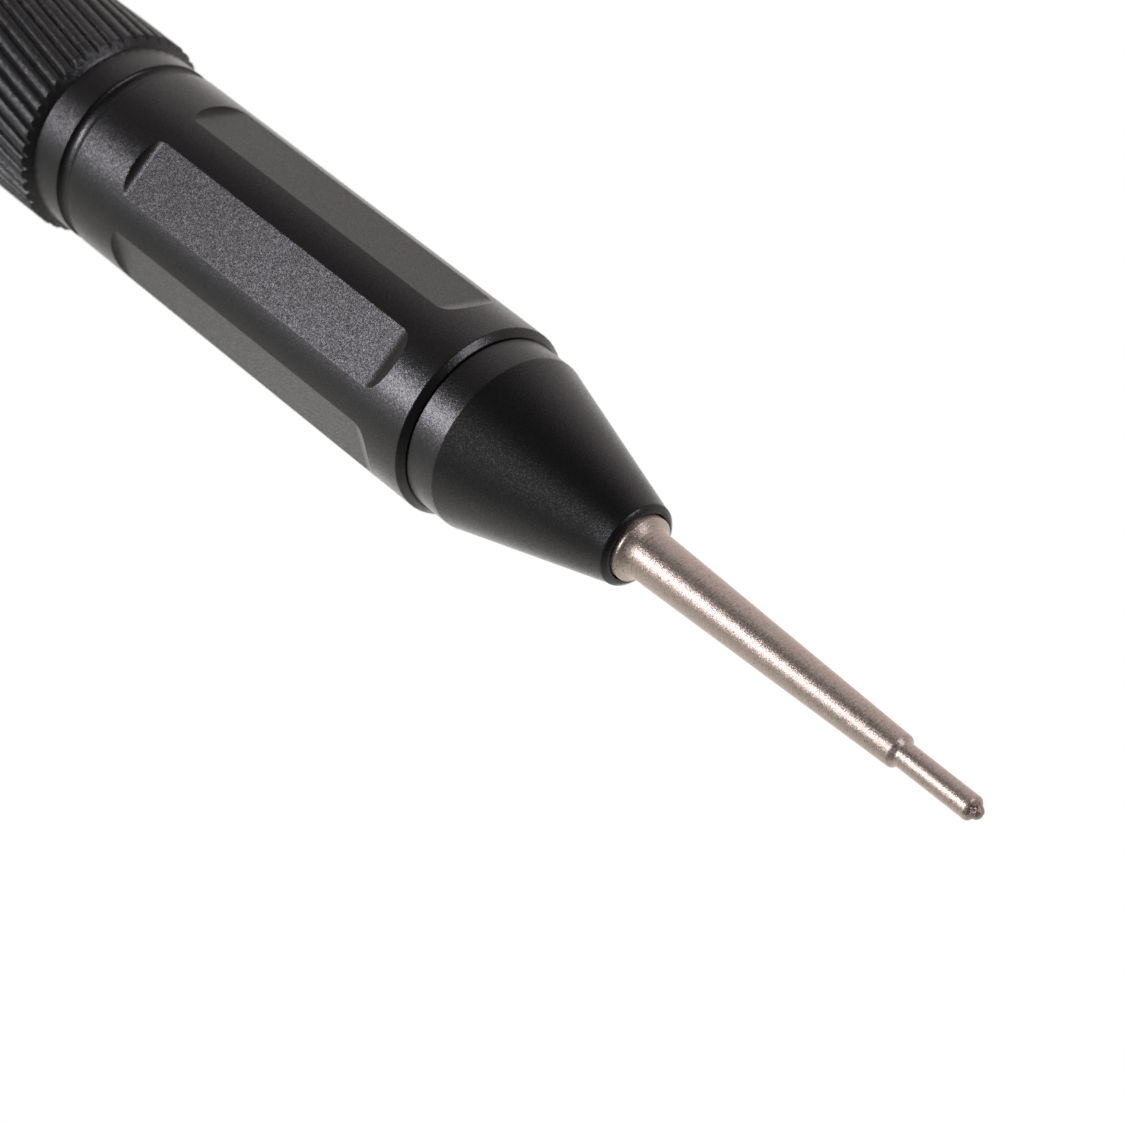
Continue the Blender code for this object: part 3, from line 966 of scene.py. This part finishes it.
def black_anodised():
    """Bead-blasted aluminium under a black anodised layer."""
    material, nodes, shader, place = new_material("black_anodised")
    blast = nodes.noise(place, 13000.0, 1.0, 0.6)
    cloud = nodes.noise(place, 2200.0, 3.0, 0.6)
    knurl = nodes.ramp(nodes.off_axis(place), 1.012 * BODY_RADIUS, 1.03 * BODY_RADIUS, 0.0, 1.0)
    colour = nodes.mix_colour(cloud, (0.0012, 0.0010, 0.0012, 1.0), (0.0026, 0.0022, 0.0024, 1.0))
    nodes.link(colour, shader.inputs["Base Color"])
    shader.inputs["Metallic"].default_value = 0.0
    shader.inputs["IOR"].default_value = 1.5
    satin = nodes.ramp(blast, 0.3, 0.7, 0.275, 0.345)
    rough = nodes.math("ADD", satin, nodes.math("MULTIPLY", knurl, 0.12))
    nodes.link(rough, shader.inputs["Roughness"])
    fine = nodes.grain(place, 15000.0, 0.31)
    smear = nodes.grain(place, 6500.0, nodes.math("MULTIPLY", knurl, 0.50))
    normal = nodes.bump(cloud, 0.004 * MM, 0.4, nodes.tilted(fine, smear))
    nodes.link(normal, shader.inputs["Normal"])
    return material


def nickel_plate():
    """Satin champagne-coloured plating over fine turning marks, brown where it is torn."""
    material, nodes, shader, place = new_material("nickel_plate")
    around = nodes.add("ShaderNodeTangent", direction_type="RADIAL", axis="X").outputs["Tangent"]
    split = nodes.add("ShaderNodeSeparateXYZ")
    nodes.link(place, split.inputs["Vector"])
    station = nodes.math("ABSOLUTE", split.outputs["X"])
    along = nodes.add("ShaderNodeCombineXYZ")
    nodes.link(nodes.math("SUBTRACT", station, nodes.off_axis(place)), along.inputs["X"])
    lines = nodes.noise(along.outputs["Vector"], 11000.0, 1.0)
    blast = nodes.noise(place, 13000.0, 1.0, 0.6)
    tone = nodes.ramp(nodes.math("ADD", lines, blast), 0.75, 1.25, 0.0, 1.0)
    specks = nodes.ramp(nodes.noise(place, 10000.0, 0.0), 0.72, 0.80, 0.0, 0.6)
    torn = nodes.add("ShaderNodeAttribute", attribute_name="rough").outputs["Fac"]
    colour = nodes.mix_colour(tone, (0.45, 0.380, 0.332, 1.0), (0.66, 0.560, 0.495, 1.0))
    colour = nodes.mix_colour(specks, colour, (0.12, 0.09, 0.075, 1.0))
    colour = nodes.mix_colour(nodes.math("MULTIPLY", torn, 0.6), colour, (0.30, 0.23, 0.20, 1.0))
    nodes.link(colour, shader.inputs["Base Color"])
    shader.inputs["Metallic"].default_value = 1.0
    shader.inputs["Anisotropic"].default_value = 0.70
    shader.inputs["Anisotropic Rotation"].default_value = 0.25
    nodes.link(around, shader.inputs["Tangent"])
    nodes.link(nodes.ramp(blast, 0.3, 0.7, 0.42, 0.54), shader.inputs["Roughness"])
    across = nodes.add("ShaderNodeVectorMath", operation="CROSS_PRODUCT")
    nodes.link(nodes.add("ShaderNodeNewGeometry").outputs["Normal"], across.inputs[0])
    nodes.link(around, across.inputs[1])
    steps = nodes.math("MULTIPLY", nodes.math("SUBTRACT", lines, 0.5), 0.70)
    turned = nodes.scaled(across.outputs["Vector"], steps)
    nodes.link(nodes.tilted(nodes.grain(place, 22000.0, 0.60), turned), shader.inputs["Normal"])
    return material


def brass():
    material, nodes, shader, place = new_material("brass")
    split = nodes.add("ShaderNodeSeparateXYZ")
    nodes.link(place, split.inputs["Vector"])
    along = nodes.add("ShaderNodeCombineXYZ")
    nodes.link(split.outputs["X"], along.inputs["X"])
    marks = nodes.noise(along.outputs["Vector"], 6000.0, 3.0, 0.6)
    dull = nodes.noise(place, 900.0, 3.0, 0.6)
    colour = nodes.mix_colour(dull, (0.62, 0.42, 0.16, 1.0), (0.78, 0.58, 0.28, 1.0))
    nodes.link(colour, shader.inputs["Base Color"])
    shader.inputs["Metallic"].default_value = 1.0
    nodes.link(nodes.ramp(dull, 0.3, 0.7, 0.24, 0.42), shader.inputs["Roughness"])
    nodes.link(nodes.bump(marks, 0.002 * MM, 0.5), shader.inputs["Normal"])
    return material


def soft_material(name, dark, light, roughness, scale):
    """Rubber or nylon: a matt, slightly mottled surface."""
    material, nodes, shader, place = new_material(name)
    mottle = nodes.noise(place, scale, 4.0, 0.6)
    nodes.link(nodes.mix_colour(mottle, dark, light), shader.inputs["Base Color"])
    nodes.link(
        nodes.ramp(mottle, 0.3, 0.7, roughness - 0.08, roughness + 0.08),
        shader.inputs["Roughness"],
    )
    nodes.link(nodes.bump(mottle, 0.004 * MM, 0.5), shader.inputs["Normal"])
    return material


def make_materials():
    return {
        "black_anodised": black_anodised(),
        "nickel_plate": nickel_plate(),
        "brass": brass(),
        "rubber": soft_material(
            "rubber", (0.010, 0.010, 0.010, 1.0), (0.024, 0.023, 0.022, 1.0), 0.62, 6000.0
        ),
        "nylon": soft_material(
            "nylon", (0.62, 0.60, 0.53, 1.0), (0.74, 0.72, 0.65, 1.0), 0.45, 2500.0
        ),
    }


def add_piece(mesh, node, body, slot, materials, place):
    """Put a mesh in the tool in place of a CAD node, riding on that node's body."""
    mesh.transform(place)
    mesh.materials.clear()
    mesh.materials.append(materials[slot])
    recalculate(mesh)
    if node.endswith("_barrel"):
        smooth_barrel(mesh)
    piece = bpy.data.objects.new(node + "_detail", mesh)
    bpy.context.scene.collection.objects.link(piece)
    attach(piece, body)
    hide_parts(node)
    return piece


def build_end(side, kind, tip_mesh, axis, materials):
    """One end of the tool, from the sleeve's seal out to the tip."""
    seals = (
        (side + "_barrel_seal", BARREL_SEAL),
        (side + "_nose_seal", NOSE_SEAL),
        (kind + "_tip_washer", WASHER),
    )
    for node, seal in seals:
        add_piece(seal_mesh(node, seal), node, node, "rubber", materials, axis)
    barrel = side + "_barrel"
    nose = side + "_nose"
    tip = kind + "_tip"
    spare = "spare_" + tip
    black = "black_anodised"
    add_piece(barrel_mesh(barrel), barrel, barrel, black, materials, axis)
    add_piece(nose_mesh(nose + "_cone"), nose + "_cone", nose, black, materials, axis)
    socket = side + "_tip_socket"
    add_piece(socket_mesh(socket), socket, nose, "brass", materials, axis)
    holder = side + "_tip_holder"
    add_piece(holder_mesh(holder), holder, "handle_core", "nylon", materials, axis)
    add_piece(tip_mesh(tip), tip, tip, "nickel_plate", materials, axis)
    shifted = axis @ Matrix.Translation((0.0, 0.0, -SPARE_SHIFT))
    add_piece(tip_mesh(spare), spare, spare, "nickel_plate", materials, shifted)


def view_axes(azimuth, elevation, roll):
    """The camera's right, up and back directions."""
    a, e, r = (math.radians(angle) for angle in (azimuth, elevation, roll))
    back = Vector((math.sin(a) * math.cos(e), -math.cos(a) * math.cos(e), math.sin(e)))
    level = Vector((math.cos(a), math.sin(a), 0.0))
    rise = back.cross(level)
    right = level * math.cos(r) + rise * math.sin(r)
    return right, back.cross(right), back


# Camera and studio
VIEW_RIGHT, VIEW_UP, VIEW_BACK = view_axes(39.86, 28.53, 16.83)
CAMERA_DISTANCE = 191.58 * MM
CAMERA_LEFT = 3.284 * MM
CAMERA_DOWN = 0.454 * MM
FOCUS_STATION = 57.0 * MM
WHITE = (1.0, 1.0, 1.0, 1.0)
SWEEP_COLOUR = (1.0, 0.93, 0.93, 1.0)
FLOOR_COLOUR = (1.0, 0.98, 0.95, 1.0)
ROOM_BRIGHTNESS = 0.10
SWEEP_BRIGHTNESS = 0.90
GLOW_BRIGHTNESS = 0.60  # added to the sweep straight behind the tool
WALL_BRIGHTNESS = 0.22
WALL_DIRECTION = (-0.10, -0.99, 0.10)
GAP_SHADE = 0.5
GAP_DIRECTION = (-0.85, -0.35, 0.39)
# Painted shadow of the grip on the glowing floor: how dark it is, and the stations over which it
# fades out
PAINTED_GRIP_SHADOW = 0.72
PAINTED_GRIP_SHADOW_START = 12.0 * MM
PAINTED_GRIP_SHADOW_END = 36.0 * MM
SIDE_VIEW_GREY = 0.78


def add_camera():
    """A long lens that looks down the pin end, close enough to crop the grip."""
    camera = bpy.data.cameras.new("camera")
    camera.lens = 121.28
    camera.sensor_width = 28.8
    camera.clip_start = 0.01
    camera.clip_end = 100.0
    obj = bpy.data.objects.new("camera", camera)
    bpy.context.scene.collection.objects.link(obj)
    target = Vector((FLANGE_FACE, 0.0, 0.0))
    aside = CAMERA_LEFT * VIEW_RIGHT + CAMERA_DOWN * VIEW_UP
    location = target - aside + CAMERA_DISTANCE * VIEW_BACK
    rotation = Matrix((VIEW_RIGHT, VIEW_UP, VIEW_BACK)).transposed().to_4x4()
    obj.matrix_world = Matrix.Translation(location) @ rotation
    focus = bpy.data.objects.new("focus", None)
    bpy.context.scene.collection.objects.link(focus)
    focus.location = (FOCUS_STATION, 0.0, 0.0)
    camera.dof.use_dof = True
    camera.dof.focus_object = focus
    camera.dof.aperture_fstop = 128.0
    bpy.context.scene.camera = obj


def surroundings(nodes, direction):
    """Brightness of the studio: a white sweep, a dark room in front, a wall and a dark gap."""
    behind = nodes.dot(direction, tuple(-VIEW_BACK))
    sweep = nodes.ramp(behind, -0.65, 0.50, ROOM_BRIGHTNESS, SWEEP_BRIGHTNESS)
    glow = nodes.ramp(behind, 0.70, 1.0, 0.0, GLOW_BRIGHTNESS)
    wall = nodes.ramp(nodes.dot(direction, WALL_DIRECTION), 0.75, 0.97, 0.0, WALL_BRIGHTNESS)
    gap = nodes.ramp(nodes.dot(direction, GAP_DIRECTION), 0.78, 0.95, 1.0, GAP_SHADE)
    lit = nodes.math("ADD", nodes.math("ADD", sweep, glow), wall)
    return nodes.math("MULTIPLY", lit, gap)


def backdrop(nodes, direction, lit, lit_colour):
    """Strength and colour of the studio, which the camera sees as plain white, or pale grey
    from the other sides, so that the tool's bright edges stand out there."""
    seen = nodes.add("ShaderNodeLightPath").outputs["Is Camera Ray"]
    plain = nodes.ramp(nodes.dot(direction, tuple(-VIEW_BACK)), 0.70, 0.95, SIDE_VIEW_GREY, 1.0)
    reflected = nodes.math("MULTIPLY", lit, nodes.math("SUBTRACT", 1.0, seen))
    strength = nodes.math("ADD", reflected, nodes.math("MULTIPLY", plain, seen))
    return strength, nodes.mix_colour(seen, lit_colour, WHITE)


def add_world():
    """The studio round the tool."""
    world = bpy.data.worlds.new("studio")
    world.use_nodes = True
    bpy.context.scene.world = world
    nodes = Nodes(world.node_tree)
    background = world.node_tree.nodes["Background"]
    direction = nodes.add("ShaderNodeTexCoord").outputs["Generated"]
    sweep = surroundings(nodes, direction)
    strength, colour = backdrop(nodes, direction, sweep, SWEEP_COLOUR)
    nodes.link(strength, background.inputs["Strength"])
    nodes.link(colour, background.inputs["Color"])


def add_floor():
    """A plain pale sheet under the tool. It glows as bright as the studio instead of being lit,
    and a painted shadow of the grip darkens its glow near the grip.
    """
    mesh = bpy.data.meshes.new("floor")
    half = 3.0
    level = low_at_load.z - 0.02 * MM
    mesh.from_pydata(
        [(-half, -half, level), (half, -half, level), (half, half, level), (-half, half, level)],
        [],
        [(0, 1, 2, 3)],
    )
    material = bpy.data.materials.new("floor")
    material.use_nodes = True
    nodes = Nodes(material.node_tree)
    tree = material.node_tree
    tree.nodes.remove(tree.nodes["Principled BSDF"])
    glow = nodes.add("ShaderNodeEmission")
    geometry = nodes.add("ShaderNodeNewGeometry")
    away = nodes.add("ShaderNodeVectorMath", operation="SCALE")
    nodes.link(geometry.outputs["Incoming"], away.inputs[0])
    away.inputs["Scale"].default_value = -1.0
    split = nodes.add("ShaderNodeSeparateXYZ")
    nodes.link(geometry.outputs["Position"], split.inputs["Vector"])
    station = nodes.math("ABSOLUTE", split.outputs["X"])
    # painted shadow: the floor's glow is darkened near the grip in place of a real cast shadow
    shade = nodes.ramp(station, PAINTED_GRIP_SHADOW_START, PAINTED_GRIP_SHADOW_END, PAINTED_GRIP_SHADOW, 1.0)
    direction = away.outputs["Vector"]
    sweep = nodes.math("MULTIPLY", surroundings(nodes, direction), shade)
    strength, colour = backdrop(nodes, direction, sweep, FLOOR_COLOUR)
    nodes.link(strength, glow.inputs["Strength"])
    nodes.link(colour, glow.inputs["Color"])
    nodes.link(glow.outputs["Emission"], tree.nodes["Material Output"].inputs["Surface"])
    mesh.materials.append(material)
    floor = bpy.data.objects.new("floor", mesh)
    bpy.context.scene.collection.objects.link(floor)
    floor.visible_shadow = False


def add_softbox(name, direction, width, height, power):
    """A cool rectangular soft lamp that faces the front barrel from 0.6 m away."""
    light = bpy.data.lights.new(name, "AREA")
    light.shape = "RECTANGLE"
    light.size = width
    light.size_y = height
    light.energy = power
    light.color = (0.96, 0.93, 1.0)
    lamp = bpy.data.objects.new(name, light)
    bpy.context.scene.collection.objects.link(lamp)
    towards = Vector(direction).normalized()
    centre = Vector((40.0 * MM, 0.0, 0.0))
    lamp.matrix_world = Matrix.Translation(centre + towards * 0.6) @ (
        towards.to_track_quat("Z", "Y").to_matrix().to_4x4()
    )
    lamp.visible_camera = False


materials = make_materials()
add_piece(sleeve_mesh(), "knurled_sleeve", "handle_core", "black_anodised", materials, FRONT)
add_piece(plug_mesh("centre_plug"), "centre_plug", "handle_core", "brass", materials, FRONT)
build_end("front", "pin", pin_mesh, FRONT, materials)
build_end("rear", "fork", fork_mesh, REAR, materials)
add_world()
add_floor()
add_softbox("side_softbox", (-0.505, -0.853, 0.127), 0.14, 0.32, 2.95)
add_softbox("front_softbox", (0.68, 0.10, 0.73), 0.20, 0.20, 1.0)
add_camera()
bpy.context.scene.view_settings.view_transform = "Standard"
